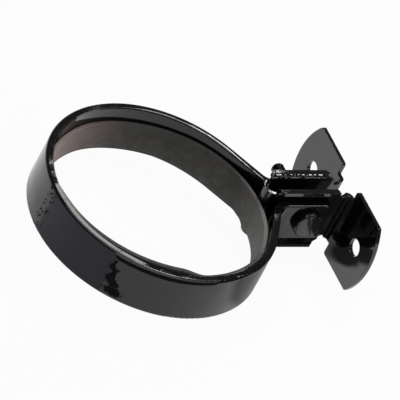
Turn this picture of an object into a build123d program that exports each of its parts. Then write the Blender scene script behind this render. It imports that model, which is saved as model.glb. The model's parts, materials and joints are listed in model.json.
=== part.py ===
from build123d import *
import os
from math import cos, sin, tan, radians

# Downpipe bracket, in millimetres. The pipe runs along Z through the origin, which lies at the strap's
# mid height, and the wall is square to X.

# Pipe, liner and strap
pipe_diameter = 100.0
liner_thickness = 2.2
liner_width = 16.5
liner_tilt = 3.2
liner_joint_angle = -5.0
liner_joint_gap = 0.8
liner_clearance = 0.1
strap_thickness = 3.8
strap_width = 24.0
strap_edge_radius = 1.2
strap_inner_chamfer = 0.4
strap_run_angle = 30.0
strap_bend_radius = 5.0
ear_beyond_screw = 11.0
ear_corner_radius = 4.0

# Wall bracket, a folded sheet
sheet = 1.8
leg_gap = 6.4
wall_gap = 47.0
wall_bend_radius = 1.2
bracket_rise = 1.5
nose_clearance = 0.3
web_half_height = 13.5
flange_setback = 4.7
flange_reach = 2.5
flange_bend_radius = 0.6
flange_headroom = 3.1
flange_slant = 1.5
wing_half_height = 19.5
wing_setback = 2.4
wing_length = 23.4
wing_bulge = 6.0
wing_corner_radius = 1.2
notch_width = 3.4
notch_margin = 2.4
wall_hole_spacing = 49.0
wall_hole_diameter = 8.2

# Clamp screw and nut
screw_diameter = 6.0
screw_length = 35.0
screw_to_wing = 18.7
screw_rise = 2.0
screw_clearance = 0.4
screw_tip_chamfer = 1.0
head_diameter = 14.0
head_height = 3.2
head_edge_chamfer = 0.7
head_seat_clearance = 0.1
slot_width = 1.6
slot_depth = 1.6
slot_angle = 26.0
nut_across_flats = 10.0
nut_height = 4.0
thread_clearance = 0.05

os.makedirs("parts", exist_ok=True)

# Places that the pieces share
pipe_radius = pipe_diameter / 2
liner_outer = pipe_radius + liner_thickness
strap_inner = liner_outer + liner_clearance
strap_outer = strap_inner + strap_thickness
leg_mid = leg_gap / 2 + sheet / 2
leg_outer = leg_gap / 2 + sheet
ear_outer = leg_outer + strap_thickness
wall_distance = pipe_radius + wall_gap
wing_front = wall_distance - sheet
screw_place = wing_front - screw_to_wing
ear_end = screw_place + ear_beyond_screw
screw_plane = Plane((screw_place, 0, screw_rise), x_dir=(1, 0, 0), z_dir=(0, -1, 0))
screw_hole_radius = screw_diameter / 2 + screw_clearance

# Clamp strap: the ring, the two straight runs, the reverse bends and the ears are one bent strip
run_angle = radians(strap_run_angle)

with BuildPart() as clamp_strap:
    with BuildSketch():
        with BuildLine():
            for ring_radius, ear_place, bend_radius in (
                (strap_outer, ear_outer, strap_bend_radius),
                (strap_inner, leg_outer, strap_bend_radius + strap_thickness),
            ):
                run_corner = ring_radius / cos(run_angle) - ear_place * tan(run_angle)
                far_run = FilletPolyline(
                    (ear_end, ear_place),
                    (run_corner, ear_place),
                    (ring_radius * cos(run_angle), ring_radius * sin(run_angle)),
                    radius=bend_radius,
                )
                CenterArc((0, 0), ring_radius, strap_run_angle, 360 - 2 * strap_run_angle)
                mirror(far_run, about=Plane.XZ)
            Line((ear_end, ear_outer), (ear_end, leg_outer))
            Line((ear_end, -ear_outer), (ear_end, -leg_outer))
        make_face()
    extrude(amount=strap_width / 2, both=True)
    ear_end_faces = clamp_strap.faces().filter_by(Plane.YZ).sort_by(Axis.X)[-2:]
    fillet(ear_end_faces.edges().filter_by(Axis.Y), radius=ear_corner_radius)
    inner_ring, outer_ring = clamp_strap.faces().filter_by(GeomType.CYLINDER).sort_by(SortBy.AREA)[-2:]
    fillet(outer_ring.edges().filter_by(GeomType.CIRCLE), radius=strap_edge_radius)
    chamfer(inner_ring.edges().filter_by(GeomType.CIRCLE), length=strap_inner_chamfer)
    with BuildSketch(screw_plane):
        Circle(screw_hole_radius)
    extrude(amount=2 * ear_outer, both=True, mode=Mode.SUBTRACT)
clamp_strap.part.label = "clamp_strap"
export_step(clamp_strap.part, "parts/clamp_strap.step")

# Wall bracket: round nose, two legs with folded flanges, and two wings against the wall, one sheet
nose_tip = liner_outer + nose_clearance
nose_centre = nose_tip + leg_outer
wing_root = leg_outer + wall_bend_radius + wing_setback
wing_straight = wing_root + wing_length
notch_place = wing_front - wall_bend_radius - notch_width / 2
flange_start = nose_tip + flange_setback
flange_end = notch_place - notch_width / 2 - notch_margin
flange_mid = strap_width / 2 + flange_headroom + sheet / 2
bracket_plane = Plane.XY.offset(bracket_rise)
flange_plane = Plane((flange_start, 0, bracket_rise), x_dir=(0, 1, 0), z_dir=(1, 0, 0))
wing_plane = Plane((wing_front, 0, bracket_rise), x_dir=(0, 1, 0), z_dir=(1, 0, 0))
notch_plane = Plane((notch_place, 0, bracket_rise), x_dir=(1, 0, 0), z_dir=(0, -1, 0))

with BuildPart() as wall_bracket:
    with BuildSketch(bracket_plane):
        with BuildLine():
            far_leg = FilletPolyline(
                (wing_front + sheet / 2, wing_root + sheet),
                (wing_front + sheet / 2, leg_mid),
                (nose_centre, leg_mid),
                radius=wall_bend_radius + sheet / 2,
            )
            CenterArc((nose_centre, 0), leg_mid, 90, 180)
            mirror(far_leg, about=Plane.XZ)
        trace(line_width=sheet)
    extrude(amount=web_half_height, both=True)
    with BuildSketch(flange_plane):
        with BuildLine():
            far_channel = FilletPolyline(
                (leg_outer + flange_reach, flange_mid),
                (leg_mid, flange_mid),
                (leg_mid, -flange_mid),
                (leg_outer + flange_reach, -flange_mid),
                radius=flange_bend_radius + sheet / 2,
            )
            mirror(far_channel, about=Plane.YZ)
        trace(line_width=sheet)
    extrude(amount=flange_end - flange_start)
    flange_corners = wall_bracket.edges().filter_by(Axis.Z).filter_by(
        lambda edge: abs(edge.center().Y) > leg_outer + flange_reach / 2 and edge.center().X < notch_place
    )
    chamfer(flange_corners, length=flange_slant)
    for leg_side in (1, -1):
        leg_face = Plane((0, leg_side * leg_gap / 2, bracket_rise), x_dir=(1, 0, 0), z_dir=(0, leg_side, 0))
        with BuildSketch(leg_face):
            with BuildLine():
                Polyline(
                    (flange_end, web_half_height),
                    (flange_end, flange_mid),
                    (notch_place, web_half_height),
                    close=True,
                )
            make_face()
            mirror(about=Plane.XZ)
        extrude(amount=sheet)
    with BuildSketch(wing_plane):
        with BuildLine():
            wing_top = Line((wing_root, wing_half_height), (wing_straight, wing_half_height))
            wing_end = ThreePointArc(
                wing_top @ 1,
                (wing_straight + wing_bulge, 0),
                (wing_straight, -wing_half_height),
            )
            wing_bottom = Line(wing_end @ 1, (wing_root, -wing_half_height))
            Line(wing_bottom @ 1, wing_top @ 0)
        wing = make_face()
        fillet(wing.vertices(), radius=wing_corner_radius)
        with Locations((wall_hole_spacing / 2, 0)):
            Circle(wall_hole_diameter / 2, mode=Mode.SUBTRACT)
        mirror(about=Plane.YZ)
    extrude(amount=sheet)
    with BuildSketch(notch_plane):
        with Locations((0, web_half_height), (0, -web_half_height)):
            Circle(notch_width / 2)
    extrude(amount=wing_root, both=True, mode=Mode.SUBTRACT)
    with BuildSketch(screw_plane):
        Circle(screw_hole_radius)
    extrude(amount=wing_root, both=True, mode=Mode.SUBTRACT)
wall_bracket.part.label = "wall_bracket"
export_step(wall_bracket.part, "parts/wall_bracket.step")

# Rubber liner: an open ring whose two edges lie a little askew in the strap
with BuildPart() as rubber_liner:
    with BuildSketch():
        Circle(liner_outer)
        Circle(pipe_radius, mode=Mode.SUBTRACT)
        with Locations(Rotation(0, 0, liner_joint_angle)):
            with Locations((liner_outer / 2, 0)):
                Rectangle(2 * liner_outer, liner_joint_gap, mode=Mode.SUBTRACT)
    extrude(amount=liner_width + liner_outer * tan(radians(liner_tilt)), both=True)
    liner_middle = Plane.XY.rotated((-liner_tilt, 0, 0))
    split(bisect_by=liner_middle.offset(liner_width / 2), keep=Keep.BOTTOM)
    split(bisect_by=liner_middle.offset(-liner_width / 2), keep=Keep.TOP)
rubber_liner.part.label = "rubber_liner"
export_step(rubber_liner.part, "parts/rubber_liner.step")

# Clamp screw: round head with a slot on the near ear, and a plain shank with a bevelled tip
head_seat = ear_outer + head_seat_clearance
head_plane = screw_plane.offset(head_seat)

with BuildPart() as clamp_screw:
    with BuildSketch(head_plane):
        Circle(head_diameter / 2)
    extrude(amount=head_height)
    chamfer(clamp_screw.faces().sort_by(Axis.Y)[0].edges(), length=head_edge_chamfer)
    with BuildSketch(head_plane):
        Circle(screw_diameter / 2)
    extrude(amount=-screw_length)
    chamfer(clamp_screw.faces().sort_by(Axis.Y)[-1].edges(), length=screw_tip_chamfer)
    with BuildSketch(head_plane.offset(head_height)):
        with Locations(Rotation(0, 0, slot_angle)):
            Rectangle(slot_width, 2 * head_diameter)
    extrude(amount=-slot_depth, mode=Mode.SUBTRACT)
clamp_screw.part.label = "clamp_screw"
export_step(clamp_screw.part, "parts/clamp_screw.step")

# Clamp nut: a square nut on the far ear
with BuildPart() as clamp_nut:
    with BuildSketch(screw_plane.offset(-ear_outer)):
        Rectangle(nut_across_flats, nut_across_flats)
        Circle(screw_diameter / 2 + thread_clearance, mode=Mode.SUBTRACT)
    extrude(amount=-nut_height)
clamp_nut.part.label = "clamp_nut"
export_step(clamp_nut.part, "parts/clamp_nut.step")
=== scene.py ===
import json
from math import cos, pi, radians, sin

import bmesh
import bpy
from mathutils import Matrix, Vector


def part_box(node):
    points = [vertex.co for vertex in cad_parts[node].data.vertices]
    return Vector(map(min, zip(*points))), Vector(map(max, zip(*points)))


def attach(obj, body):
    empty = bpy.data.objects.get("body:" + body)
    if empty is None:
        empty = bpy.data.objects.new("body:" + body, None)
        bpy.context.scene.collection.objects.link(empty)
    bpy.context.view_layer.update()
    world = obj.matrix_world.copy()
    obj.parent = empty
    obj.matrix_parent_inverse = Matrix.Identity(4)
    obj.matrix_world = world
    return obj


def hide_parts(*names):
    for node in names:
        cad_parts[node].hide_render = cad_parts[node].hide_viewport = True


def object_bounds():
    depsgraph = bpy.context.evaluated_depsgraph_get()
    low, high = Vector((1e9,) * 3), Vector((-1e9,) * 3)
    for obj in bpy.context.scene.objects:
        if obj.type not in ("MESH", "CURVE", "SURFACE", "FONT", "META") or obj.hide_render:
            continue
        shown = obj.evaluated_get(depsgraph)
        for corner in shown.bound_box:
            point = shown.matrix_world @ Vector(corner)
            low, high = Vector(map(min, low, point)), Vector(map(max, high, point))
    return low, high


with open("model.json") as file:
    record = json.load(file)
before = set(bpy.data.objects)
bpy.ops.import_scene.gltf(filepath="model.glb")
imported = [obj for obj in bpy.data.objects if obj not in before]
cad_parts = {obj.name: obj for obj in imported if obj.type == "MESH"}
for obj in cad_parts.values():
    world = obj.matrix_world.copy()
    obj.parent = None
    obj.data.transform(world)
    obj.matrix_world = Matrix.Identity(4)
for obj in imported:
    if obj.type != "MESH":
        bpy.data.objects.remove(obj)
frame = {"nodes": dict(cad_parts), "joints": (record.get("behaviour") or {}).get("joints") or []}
cad_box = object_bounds()
nodes = frame["nodes"]

# Places from the frame, in metres
screw_axis = Vector(frame["joints"][0]["pos_m"])
screw_low, screw_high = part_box("clamp_screw")
rim_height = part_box("clamp_strap")[1].z
lowest = cad_box[0][2]

# Camera: a long lens that looks at a point near the middle of the object
view_azimuth = -132.531
view_elevation = 36.632
view_roll = 28.871
view_distance = 5.4116
view_reach = 100.0
view_aim = Vector((0.027911, 0.006654, 0.0))
lens = 1094.11
sensor = 36.0

# Clamp screw
thread_crest = 0.003
thread_pitch = 0.001
thread_depth = 0.0006
thread_steepness = 1.25
thread_crest_flat = 0.12
tip_chamfer = 0.001
head_diameter = 0.014
head_height = 0.0032
head_edge_radius = 0.0011
head_seat_chamfer = 0.0003
slot_width = 0.0016
slot_depth = 0.0016
slot_angle = 26.0

# Rubber liner, with its solid's section, slope and place of the joint, where its ends nearly meet
liner_inner = 0.05
liner_outer = 0.0522
liner_width = 0.0165
liner_tilt = 3.2
liner_joint_angle = 355.0
liner_joint_gap = 0.0001
liner_corner_radius = 0.0005
liner_slack = 0.0009

# Lift of the liner's upper edge on the open side: how far, and the angles where it starts and ends
liner_lift = 0.0031
liner_lift_start = (150, 185)
liner_lift_end = (255, 272)

# Step in the liner's lower edge at its joint: how far, and the angles past the joint over which it ends
liner_end_step = 0.0013
liner_end_span = (2, 8)

# Where the liner has shifted along the pipe: angle, half the angle it takes to settle, and shift
liner_shifts = ((30, 60, 0.0014), (130, 25, -0.0013), (315, 28, -0.0010))

# How finely the meshes are divided
head_steps = 96
head_edge_steps = 8
thread_steps = 48
thread_rows_per_pitch = 12
liner_steps = 420
liner_corner_steps = 4
sharp_angle = radians(40)

# In the values below a pair is where a soft change starts and ends, and a noise has its scale, detail
# and roughness. Angles on the strap are in degrees from -X.
noise_middle = (0.3, 0.7)

# Sag below the strap's near rim: where it deepens, its two depths, where it ends, and its lower edge
sag_angles = (130.0, 60.0)
sag_depths = (0.0012, 0.0034)
sag_end = (41.0, 44.5)
sag_edge = (-0.0004, 0.0012)
sag_least = (0.0002, 0.0010)
sag_lean = 0.9

# Paint run on the strap: angle and height of each mark, and half its length and height
run_marks = (
    (44.0, 0.0050, 1.6, 0.0035),
    (45.5, 0.0000, 2.2, 0.0042),
    (48.0, -0.0038, 2.4, 0.0026),
    (49.0, -0.0080, 5.0, 0.0024),
)
run_edge = (1.5, 0.4)
run_noise = (300.0, 4.0, 0.6)
run_waver_angle = 9.0
run_waver_height = 0.003

# Dark foot of the ears, along X and Z
foot_start = (0.0615, 0.0625)
foot_top = (-0.0078, -0.0088)

# Pebbled strip on the strap's open side
pebble_angle = -1.5
pebble_edge = (6.0, 1.0)
pebble_noise = (700.0, 3.0, 0.6)
pebble_share = (0.52, 0.60)

# Stipple that breaks up the edges of the strap's marks, and the radius outside which they lie
stipple_noise = (2600.0, 2.0)
stipple_strength = 1.6
stipple_edge = (0.35, 0.65)
outside_radius = (0.0555, 0.0558)

# Rim of the strap, which the paint rounds on the far side: the angle of the straight runs, the middle of
# that side and the cosines at its ends, how far up the rim faces, and the crown's middle, half width and
# bend per metre
run_angle = radians(30)
crown_way = (cos(radians(47.5)), sin(radians(47.5)), 0.0)
crown_ends = (0.75, 0.92)
crown_faces_up = (0.6, 0.95)
crown_radius = 0.0534
crown_half_width = 0.0019
crown_bend = 60.0

# Fold of the far flange, with a worn flat along it in pieces: its middle, the way that it faces, its half
# width, its places along Z and X, its waver, and the gaps between its pieces
fold_middle = 0.0047
fold_way = (-0.021, -0.391, 0.920)
fold_lean = 5.0
fold_half_width = (0.0003, 0.0001)
fold_bottom = (0.0170, 0.0175)
fold_start = (0.0590, 0.0605)
fold_end = (0.0870, 0.0855)
fold_noise = (250.0, 3.0)
fold_waver = 0.0010
gap_noise = (700.0, 2.0)
gap_below = 0.47
gap_above = 0.52
gap_half_width = (0.0016, 0.0012)
gap_lean = 2.0

# Paint pooled in the near wing's bend: where it starts along X, and its two sides along Y
pool_start = (0.0925, 0.0935)
pool_near = (-0.0075, -0.0065)
pool_far = (-0.0040, -0.0050)
pool_lean = 0.9

# Gloss paint: its ripples, lumps and specks, its two blacks, and how its polish varies
ripple_noise = (70.0, 1.0)
ripple_height = 0.0003
lump_noise = (600.0, 2.0)
speck_noise = (400.0, 4.0)
speck_share = (0.35, 0.75)
paint_black = (0.0045, 0.0038, 0.0038, 1)
paint_speck = (0.0085, 0.0068, 0.0064, 1)
polish_noise = (120.0, 3.0)
bevel_samples = 6

# Rubber: its grain, its two greys in clouds, how its sheen varies, and painted light: paler colours at the
# wall side and the open side, where more light falls on the liner
grain_noise = (2500.0, 3.0)
grain_strength = 0.25
grain_height = 0.0003
cloud_noise = (45.0, 4.0)
rubber_dark = (0.066, 0.064, 0.059, 1)
rubber_dusty = (0.088, 0.084, 0.076, 1)
sheen_noise = (300.0, 3.0)
rubber_roughness = (0.6, 0.78)
wall_side_x = (0.030, 0.045)
wall_side_y = (0.018, -0.020)
wall_side_painted_light = (0.25, 0.245, 0.232, 1)
open_side_x = (0.015, -0.045)
open_side_y = (-0.022, 0.0)
open_side_painted_light = (0.40, 0.305, 0.290, 1)

# Light and floor
world_level = 0.10
floor_white = 0.95
floor_colour = (0.86, 0.86, 0.86, 1)
floor_size = 60.0
floor_gap = 0.0005

# Painted shade on the floor to the left of the object, seen only in reflections: a wedge's point and way,
# and cosines at its edge
zone_apex = (-0.0291, -0.0293, 0.0)
zone_way = (cos(radians(176.5)), sin(radians(176.5)), 0.0)
zone_edge = (0.69, 0.75)
reflection_shade_colour = (0.58, 0.57, 0.67, 1)

# Round patches of the floor, in shade in reflections: centre, radius and level, and the even part of each
shades = (
    ((0.060, -0.042, 0.0), 0.031, 0.40),
    ((0.086, -0.002, 0.0), 0.016, 0.40),
    ((0.072, -0.010, 0.0), 0.009, 0.08),
    ((0.084, -0.010, 0.0), 0.009, 0.08),
    ((0.017, -0.012, 0.0), 0.016, 0.15),
)
shade_core = 0.6

# Overhead lamp, and the slope in the picture of the lamps that the strap's rim reflects
overhead_height = 1.4
overhead_size = 1.6
overhead_radiance = 1.2
rim_slope = 38


class Nodes:
    """A material's node tree, with short calls to add and join nodes."""

    def __init__(self, name):
        self.material = bpy.data.materials.new(name)
        self.material.use_nodes = True
        self.tree = self.material.node_tree
        self.tree.nodes.clear()
        self.output = self.add("ShaderNodeOutputMaterial")

    def add(self, kind, **values):
        node = self.tree.nodes.new(kind)
        for key, value in values.items():
            setattr(node, key, value)
        return node

    def join(self, source, target):
        self.tree.links.new(source, target)

    def value(self, socket, given):
        if isinstance(given, bpy.types.NodeSocket):
            self.join(given, socket)
        else:
            socket.default_value = given

    def place(self):
        return self.add("ShaderNodeTexCoord").outputs["Object"]

    def split(self, vector):
        node = self.add("ShaderNodeSeparateXYZ")
        self.join(vector, node.inputs[0])
        return node.outputs

    def math(self, operation, first, second=0.0):
        node = self.add("ShaderNodeMath", operation=operation)
        self.value(node.inputs[0], first)
        self.value(node.inputs[1], second)
        return node.outputs[0]

    def vector(self, operation, first, second=(0, 0, 0), output="Vector"):
        node = self.add("ShaderNodeVectorMath", operation=operation)
        self.value(node.inputs[0], first)
        self.value(node.inputs[1], second)
        return node.outputs[output]

    def scaled(self, vector, factor):
        node = self.add("ShaderNodeVectorMath", operation="SCALE")
        self.value(node.inputs[0], vector)
        self.value(node.inputs["Scale"], factor)
        return node.outputs["Vector"]

    def noise(self, where, scale, detail=2.0, roughness=0.5):
        node = self.add("ShaderNodeTexNoise")
        self.join(where, node.inputs["Vector"])
        node.inputs["Scale"].default_value = scale
        node.inputs["Detail"].default_value = detail
        node.inputs["Roughness"].default_value = roughness
        return node.outputs["Fac"]

    def waver(self, where, *noise):
        """A noise about 0."""
        return self.math("SUBTRACT", self.noise(where, *noise), 0.5)

    def span(self, given, low, high, to_low=0.0, to_high=1.0):
        """A soft change from one value to another."""
        node = self.add("ShaderNodeMapRange", interpolation_type="SMOOTHSTEP")
        self.value(node.inputs["Value"], given)
        node.inputs["From Min"].default_value = low
        node.inputs["From Max"].default_value = high
        node.inputs["To Min"].default_value = to_low
        node.inputs["To Max"].default_value = to_high
        return node.outputs["Result"]

    def bump(self, height, strength, distance, normal=None):
        node = self.add("ShaderNodeBump")
        node.inputs["Strength"].default_value = strength
        node.inputs["Distance"].default_value = distance
        self.join(height, node.inputs["Height"])
        if normal is not None:
            self.join(normal, node.inputs["Normal"])
        return node.outputs["Normal"]

    def mix_colour(self, factor, first, second):
        node = self.add("ShaderNodeMix", data_type="RGBA")
        self.value(node.inputs["Factor"], factor)
        self.value(node.inputs["A"], first)
        self.value(node.inputs["B"], second)
        return node.outputs["Result"]


def strap_sags(n, where):
    """0 to 1 where the strap's paint leans up: below the rim, in a run, at the ears' foot, in a strip."""
    x, y, z = n.split(where)
    turn = n.math("ARCTAN2", n.math("MULTIPLY", y, -1.0), n.math("MULTIPLY", x, -1.0))
    plain_angle = n.math("MULTIPLY", turn, 180 / pi)
    waver = n.waver(where, *run_noise)
    angle = n.math("ADD", plain_angle, n.math("MULTIPLY", waver, run_waver_angle))
    height = n.math("ADD", z, n.math("MULTIPLY", waver, run_waver_height))

    deepest = n.span(plain_angle, *sag_angles, *sag_depths)
    depth = n.math("MULTIPLY", deepest, n.span(plain_angle, *sag_end))
    below_rim = n.math("SUBTRACT", n.math("ADD", depth, z), rim_height)
    found = n.math("MULTIPLY", n.span(below_rim, *sag_edge), n.span(depth, *sag_least))
    for centre, middle, half_angle, half_height in run_marks:
        aside = n.math("DIVIDE", n.math("SUBTRACT", angle, centre), half_angle)
        above = n.math("DIVIDE", n.math("SUBTRACT", height, middle), half_height)
        squares = n.math("ADD", n.math("MULTIPLY", aside, aside), n.math("MULTIPLY", above, above))
        found = n.math("MAXIMUM", found, n.span(n.math("SQRT", squares), *run_edge))
    foot = n.math("MULTIPLY", n.span(x, *foot_start), n.span(z, *foot_top))
    found = n.math("MAXIMUM", found, foot)
    from_strip = n.math("ABSOLUTE", n.math("SUBTRACT", plain_angle, pebble_angle))
    pebbles = n.span(n.noise(where, *pebble_noise), *pebble_share)
    found = n.math("MAXIMUM", found, n.math("MULTIPLY", n.span(from_strip, *pebble_edge), pebbles))
    stipple = n.math("MULTIPLY", n.waver(where, *stipple_noise), stipple_strength)
    found = n.span(n.math("ADD", found, stipple), *stipple_edge)
    from_axis = n.vector("LENGTH", n.vector("MULTIPLY", where, (1, 1, 0)), output="Value")
    return n.math("MULTIPLY", found, n.span(from_axis, *outside_radius))


def strap_lean(n, where):
    """How the strap's paint leans: up where it has sagged, and outwards and inwards on its rounded rim."""
    way = n.vector("NORMALIZE", n.vector("MULTIPLY", where, (1, 1, 0)))
    aside = n.math("SIGN", n.split(where)[1])
    run_way = n.vector("ADD", n.scaled((0, sin(run_angle), 0), aside), (cos(run_angle), 0, 0))
    on_run = n.math("GREATER_THAN", n.split(way)[0], cos(run_angle))
    way = n.vector("ADD", n.scaled(way, n.math("SUBTRACT", 1.0, on_run)), n.scaled(run_way, on_run))
    offset = n.math("SUBTRACT", n.vector("DOT_PRODUCT", where, way, "Value"), crown_radius)
    offset = n.math("MAXIMUM", n.math("MINIMUM", offset, crown_half_width), -crown_half_width)
    normal = n.add("ShaderNodeNewGeometry").outputs["Normal"]
    faces_up = n.span(n.split(normal)[2], *crown_faces_up)
    far = n.span(n.vector("DOT_PRODUCT", way, crown_way, "Value"), *crown_ends)
    bend = n.math("MULTIPLY", n.math("MULTIPLY", faces_up, far), crown_bend)
    crown = n.scaled(way, n.math("MULTIPLY", offset, bend))
    sag = n.math("MULTIPLY", strap_sags(n, where), sag_lean)
    return n.vector("ADD", crown, n.scaled((0, 0, 1), sag))


def bracket_lean(n, where):
    """How the bracket's paint leans: a ragged flat on the far flange's fold, a pool in the wing's bend."""
    x, y, z = n.split(where)
    waver = n.math("MULTIPLY", n.waver(where, *fold_noise), fold_waver)
    across = n.math("ABSOLUTE", n.math("SUBTRACT", n.math("ADD", y, waver), fold_middle))
    at_top = n.span(z, *fold_bottom)
    along = n.math("MULTIPLY", n.span(x, *fold_start), n.span(x, *fold_end))
    pieces = n.noise(where, *gap_noise)
    flat = n.math("MULTIPLY", n.span(across, *fold_half_width), at_top)
    flat = n.math("MULTIPLY", flat, along)
    flat = n.math("MULTIPLY", flat, n.span(pieces, gap_below, gap_above))
    gaps = n.math("MULTIPLY", n.span(across, *gap_half_width), at_top)
    gaps = n.math("MULTIPLY", gaps, n.span(pieces, gap_above, gap_below))
    pool = n.math("MULTIPLY", n.span(x, *pool_start), n.span(y, *pool_near))
    pool = n.math("MULTIPLY", pool, n.span(y, *pool_far))
    upward = n.math("MAXIMUM", pool, n.math("MULTIPLY", gaps, gap_lean))
    worn = n.scaled(fold_way, n.math("MULTIPLY", flat, fold_lean))
    return n.vector("ADD", worn, n.scaled((0, 0, pool_lean), upward))


def gloss_paint(name, edge_radius, lump_height, index, roughness, lean=None):
    """Thick gloss black paint with soft sheet edges, slow ripples, small lumps and, where given, a lean."""
    n = Nodes(name)
    where = n.place()
    bevel = n.add("ShaderNodeBevel", samples=bevel_samples)
    bevel.inputs["Radius"].default_value = edge_radius
    normal = n.bump(n.noise(where, *ripple_noise), 1.0, ripple_height, bevel.outputs["Normal"])
    normal = n.bump(n.noise(where, *lump_noise), 1.0, lump_height, normal)
    if lean is not None:
        normal = n.vector("NORMALIZE", n.vector("ADD", normal, lean(n, where)))
    shader = n.add("ShaderNodeBsdfPrincipled")
    specks = n.span(n.noise(where, *speck_noise), *speck_share)
    n.join(n.mix_colour(specks, paint_black, paint_speck), shader.inputs["Base Color"])
    polish = n.span(n.noise(where, *polish_noise), *noise_middle, *roughness)
    n.join(polish, shader.inputs["Roughness"])
    shader.inputs["IOR"].default_value = index
    n.join(normal, shader.inputs["Normal"])
    n.join(shader.outputs[0], n.output.inputs["Surface"])
    return n.material


def matte_rubber(name):
    """Dark grey rubber with a fine moulded grain, and painted light: paler at the wall side and the open
    side.
    """
    n = Nodes(name)
    where = n.place()
    x, y = n.split(where)[:2]
    grain = n.bump(n.noise(where, *grain_noise), grain_strength, grain_height)
    clouds = n.span(n.noise(where, *cloud_noise), *noise_middle)
    colour = n.mix_colour(clouds, rubber_dark, rubber_dusty)
    # Painted light: the liner is made paler at the wall side and the open side, where more light falls on
    # it
    wall_side = n.math("MULTIPLY", n.span(x, *wall_side_x), n.span(y, *wall_side_y))
    colour = n.mix_colour(wall_side, colour, wall_side_painted_light)
    open_side = n.math("MULTIPLY", n.span(x, *open_side_x), n.span(y, *open_side_y))
    colour = n.mix_colour(open_side, colour, open_side_painted_light)
    shader = n.add("ShaderNodeBsdfPrincipled")
    n.join(colour, shader.inputs["Base Color"])
    sheen = n.span(n.noise(where, *sheen_noise), *noise_middle, *rubber_roughness)
    n.join(sheen, shader.inputs["Roughness"])
    n.join(grain, shader.inputs["Normal"])
    n.join(shader.outputs[0], n.output.inputs["Surface"])
    return n.material


def pale_floor(name):
    """White to the camera, white with painted shade in reflections, and it keeps the shadow."""
    n = Nodes(name)
    where = n.place()
    ray = n.add("ShaderNodeLightPath").outputs
    glossy = ray["Is Glossy Ray"]
    shown = n.math("MAXIMUM", ray["Is Camera Ray"], glossy)
    shown = n.math("MAXIMUM", shown, ray["Is Transmission Ray"])
    # Painted shade, seen only in reflections: a greyer wedge of floor to the left, and round patches
    outward = n.vector("NORMALIZE", n.vector("SUBTRACT", where, zone_apex))
    zone = n.span(n.vector("DOT_PRODUCT", outward, zone_way, "Value"), *zone_edge)
    colour = n.mix_colour(n.math("MULTIPLY", zone, glossy), (1, 1, 1, 1), reflection_shade_colour)
    for centre, radius, level in shades:
        apart = n.vector("DISTANCE", where, centre, "Value")
        shade = n.math("MULTIPLY", n.span(apart, radius, shade_core * radius), glossy)
        colour = n.mix_colour(shade, colour, (level, level, level, 1))
    pale = n.add("ShaderNodeBsdfDiffuse")
    pale.inputs["Color"].default_value = floor_colour
    white = n.add("ShaderNodeEmission")
    n.join(colour, white.inputs["Color"])
    mixed = n.add("ShaderNodeMixShader")
    n.join(n.math("MULTIPLY", shown, floor_white), mixed.inputs["Fac"])
    n.join(pale.outputs[0], mixed.inputs[1])
    n.join(white.outputs[0], mixed.inputs[2])
    n.join(mixed.outputs[0], n.output.inputs["Surface"])
    return n.material


def skin(work, rings):
    """Faces between rings of points, round each ring, with a face over the first and the last ring."""
    for low, high in zip(rings, rings[1:]):
        for step in range(len(low)):
            after = (step + 1) % len(low)
            work.faces.new((low[step], high[step], high[after], low[after]))
    work.faces.new(rings[0])
    work.faces.new(list(reversed(rings[-1])))
    bmesh.ops.recalc_face_normals(work, faces=work.faces)


def mesh_of(work, name):
    mesh = bpy.data.meshes.new(name)
    work.to_mesh(mesh)
    work.free()
    return mesh


def added(name, data):
    held = bpy.data.objects.new(name, data)
    bpy.context.scene.collection.objects.link(held)
    return held


def smooth_piece(name, work):
    """A piece with smooth shading and sharp edges."""
    mesh = mesh_of(work, name)
    mesh.shade_smooth()
    mesh.set_sharp_from_angle(angle=sharp_angle)
    return added(name, mesh)


def circle(work, radius, along, steps):
    """A ring of points about the Y axis."""
    turns = [2 * pi * step / steps for step in range(steps)]
    return [work.verts.new((radius * cos(turn), along, radius * sin(turn))) for turn in turns]


def slotted_head(face, seat):
    """The screw's round head about the Y axis, with its slot cut by a box."""
    rim = head_diameter / 2
    profile = []
    for step in range(head_edge_steps + 1):
        turn = pi / 2 * step / head_edge_steps
        inward = head_edge_radius * (1 - sin(turn))
        profile.append((rim - inward, face + head_edge_radius * (1 - cos(turn))))
    profile.append((rim, seat - head_seat_chamfer))
    profile.append((rim - head_seat_chamfer, seat))
    profile.append((thread_crest - thread_depth, seat))
    work = bmesh.new()
    skin(work, [circle(work, radius, along, head_steps) for radius, along in profile])
    head = added("clamp_screw_head", mesh_of(work, "clamp_screw_head"))

    work = bmesh.new()
    bmesh.ops.create_cube(work, size=1.0)
    bmesh.ops.scale(work, vec=(slot_width, 2 * slot_depth, 2 * head_diameter), verts=work.verts)
    bmesh.ops.rotate(work, matrix=Matrix.Rotation(radians(-slot_angle), 3, "Y"), verts=work.verts)
    bmesh.ops.translate(work, vec=(0, face, 0), verts=work.verts)
    cutter = added("clamp_screw_slot", mesh_of(work, "clamp_screw_slot"))

    cut = head.modifiers.new("slot", "BOOLEAN")
    cut.operation = "DIFFERENCE"
    cut.object = cutter
    cut.solver = "EXACT"
    graph = bpy.context.evaluated_depsgraph_get()
    mesh = bpy.data.meshes.new_from_object(head.evaluated_get(graph))
    for piece in (head, cutter):
        bpy.data.objects.remove(piece)
    return mesh


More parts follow.
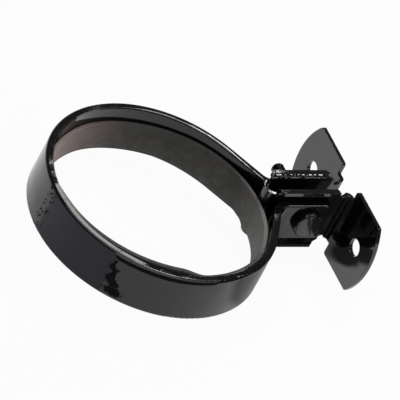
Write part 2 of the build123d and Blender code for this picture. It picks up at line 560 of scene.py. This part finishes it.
def thread(seat, tip):
    """The screw's shank about the Y axis, with a rolled thread and a bevelled tip."""
    rows = round((tip - seat) / thread_pitch * thread_rows_per_pitch)
    work = bmesh.new()
    rings = []
    for row in range(rows + 1):
        along = seat + (tip - seat) * row / rows
        bevel = thread_crest - tip_chamfer + tip - along
        ring = []
        for step in range(thread_steps):
            tooth = abs(2 * (((along - seat) / thread_pitch - step / thread_steps) % 1.0) - 1)
            cut = min(1.0, max(0.0, thread_steepness * tooth - thread_crest_flat))
            radius = min(bevel, thread_crest - thread_depth * cut)
            turn = 2 * pi * step / thread_steps
            ring.append(work.verts.new((radius * cos(turn), along, radius * sin(turn))))
        rings.append(ring)
    skin(work, rings)
    return mesh_of(work, "clamp_screw_thread")


def threaded_screw():
    """The clamp screw with its slotted head and its thread, in place."""
    seat = screw_low.y + head_height
    work = bmesh.new()
    work.from_mesh(slotted_head(screw_low.y, seat))
    work.from_mesh(thread(seat, screw_high.y))
    bmesh.ops.translate(work, vec=(screw_axis.x, 0, screw_axis.z), verts=work.verts)
    return smooth_piece("clamp_screw_threaded", work)


def smooth(low, high, given):
    """0 below low and 1 above high, with a soft step between."""
    part = min(1.0, max(0.0, (given - low) / (high - low)))
    return part * part * (3 - 2 * part)


def liner_edges(angle):
    """Heights of the liner's two edges: both wave, and the upper one stands proud on the open side."""
    middle = -liner_outer * sin(radians(angle)) * sin(radians(liner_tilt))
    for centre, half, shift in liner_shifts:
        apart = abs((angle - centre + 180) % 360 - 180)
        middle += shift * (1 - smooth(0, half, apart))
    proud = smooth(*liner_lift_start, angle) * (1 - smooth(*liner_lift_end, angle))
    end = 1 - smooth(*liner_end_span, (angle - liner_joint_angle) % 360)
    low = middle - liner_width / 2 - liner_end_step * end
    high = middle + liner_width / 2 - liner_slack + liner_lift * proud
    return low, high


def wavy_liner():
    """The rubber liner as it lies in the strap, an open ring of rounded section with wavy edges."""
    half_gap = liner_joint_gap / 2 / liner_outer * 180 / pi
    outer_wall = liner_outer - liner_corner_radius
    inner_wall = liner_inner + liner_corner_radius
    work = bmesh.new()
    rings = []
    for step in range(liner_steps + 1):
        angle = liner_joint_angle + half_gap + (360 - 2 * half_gap) * step / liner_steps
        spot = radians(angle)
        low, high = liner_edges(angle % 360)
        top = high - liner_corner_radius
        bottom = low + liner_corner_radius
        corners = ((outer_wall, top), (inner_wall, top), (inner_wall, bottom), (outer_wall, bottom))
        ring = []
        for quarter, (wall, level) in enumerate(corners):
            for part in range(liner_corner_steps + 1):
                turn = radians(90 * (quarter + part / liner_corner_steps))
                radius = wall + liner_corner_radius * cos(turn)
                height = level + liner_corner_radius * sin(turn)
                ring.append(work.verts.new((radius * cos(spot), radius * sin(spot), height)))
        rings.append(ring)
    skin(work, rings)
    return smooth_piece("rubber_liner_wavy", work)


def direction(azimuth, elevation):
    """A unit vector from its two angles in degrees."""
    turn = radians(azimuth)
    lift = radians(elevation)
    return Vector((cos(lift) * cos(turn), cos(lift) * sin(turn), sin(lift)))


def facing(right, up, back, place):
    """A matrix with the given axes and place."""
    return Matrix.Translation(place) @ Matrix((right, up, back)).transposed().to_4x4()


def lamp(name, width, height, radiance, matrix):
    """A rectangular lamp that shines along its own -Z, with its brightness as a mirror would show it."""
    light = bpy.data.lights.new(name, "AREA")
    light.shape = "RECTANGLE"
    light.size = width
    light.size_y = height
    light.energy = radiance * pi * width * height
    held = added(name, light)
    held.matrix_world = matrix


def rim_lamp(name, aside, above, distance, width, length, radiance):
    """A lamp whose mirror image in the flat rim stands at a place in the picture, along the rim's slope."""
    slope = radians(rim_slope)
    along = camera_right * cos(slope) + camera_up * sin(slope)
    across = along.cross(back)
    flip = Vector((1, 1, -1))
    image = view_aim + camera_right * aside + camera_up * above - back * distance
    place = image * flip + Vector((0, 0, 2 * rim_height))
    matrix = facing(-across * flip, along * flip, -back * flip, place)
    lamp(name, width, length, radiance, matrix)


def far_lamp(name, azimuth, elevation, distance, width, height, radiance):
    """A lamp that faces the object from a direction."""
    way = direction(azimuth, elevation)
    turned = way.to_track_quat("Z", "Y").to_matrix().to_4x4()
    lamp(name, width, height, radiance, Matrix.Translation(view_aim + distance * way) @ turned)


# Materials on the solids
strap_paint = gloss_paint(
    "strap_paint_gloss",
    edge_radius=0.0003,
    lump_height=0.000012,
    index=1.5,
    roughness=(0.03, 0.08),
    lean=strap_lean,
)
bracket_paint = gloss_paint(
    "bracket_paint_gloss",
    edge_radius=0.00035,
    lump_height=0.00001,
    index=1.7,
    roughness=(0.03, 0.08),
    lean=bracket_lean,
)
fastener_paint = gloss_paint(
    "fastener_paint_gloss",
    edge_radius=0.0002,
    lump_height=0.00004,
    index=1.6,
    roughness=(0.05, 0.12),
)
liner_rubber = matte_rubber("liner_rubber_matte")
for node, material in (
    ("clamp_strap", strap_paint),
    ("wall_bracket", bracket_paint),
    ("clamp_nut", fastener_paint),
):
    nodes[node].material_slots[0].material = material

# Pieces that take the place of a solid
for piece, body, node, slot, material in (
    (threaded_screw(), "screw", "clamp_screw", "screw_paint", fastener_paint),
    (wavy_liner(), "bracket", "rubber_liner", "liner_rubber", liner_rubber),
):
    piece.data.materials.append(material)
    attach(piece, body)
    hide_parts(node)

# Floor
bpy.ops.mesh.primitive_plane_add(size=floor_size, location=(0, 0, lowest - floor_gap))
floor = bpy.context.object
floor.name = "floor"
floor.data.materials.append(pale_floor("floor_pale"))

# World: a dim plain room
world = bpy.data.worlds.new("room")
bpy.context.scene.world = world
world.use_nodes = True
room = world.node_tree.nodes["Background"]
room.inputs["Color"].default_value = (1, 1, 1, 1)
room.inputs["Strength"].default_value = world_level

# Camera
back = direction(view_azimuth, view_elevation)
level_right = Vector((0, 0, 1)).cross(back).normalized()
level_up = back.cross(level_right)
roll = radians(view_roll)
camera_right = level_right * cos(roll) + level_up * sin(roll)
camera_up = level_up * cos(roll) - level_right * sin(roll)
camera_data = bpy.data.cameras.new("camera")
camera_data.lens = lens
camera_data.sensor_width = sensor
camera_data.clip_end = view_reach
camera = added("camera", camera_data)
camera.matrix_world = facing(camera_right, camera_up, back, view_aim + back * view_distance)
bpy.context.scene.camera = camera
bpy.context.scene.view_settings.view_transform = "Standard"

# Lamps: one overhead, three seen in the strap's rim, and three that face the object
overhead_place = view_aim + Vector((0, 0, overhead_height))
lamp("overhead", overhead_size, overhead_size, overhead_radiance, Matrix.Translation(overhead_place))
rim_lamp(
    "near_rim_lamp",
    aside=-0.0433,
    above=-0.0038,
    distance=0.7,
    width=0.056,
    length=0.075,
    radiance=5.0,
)
rim_lamp(
    "nose_lamp",
    aside=0.0256,
    above=-0.0005,
    distance=0.25,
    width=0.014,
    length=0.0088,
    radiance=12.0,
)
rim_lamp(
    "far_rim_lamp",
    aside=0.0118,
    above=0.0294,
    distance=0.7,
    width=0.042,
    length=0.032,
    radiance=14.0,
)
far_lamp(
    "edge_lamp",
    azimuth=42,
    elevation=55,
    distance=0.7,
    width=0.10,
    height=0.10,
    radiance=20.0,
)
far_lamp(
    "fold_lamp",
    azimuth=-3,
    elevation=57,
    distance=0.7,
    width=0.04,
    height=0.12,
    radiance=13.0,
)
far_lamp(
    "side_lamp",
    azimuth=-28,
    elevation=22,
    distance=1.2,
    width=0.8,
    height=0.35,
    radiance=2.5,
)
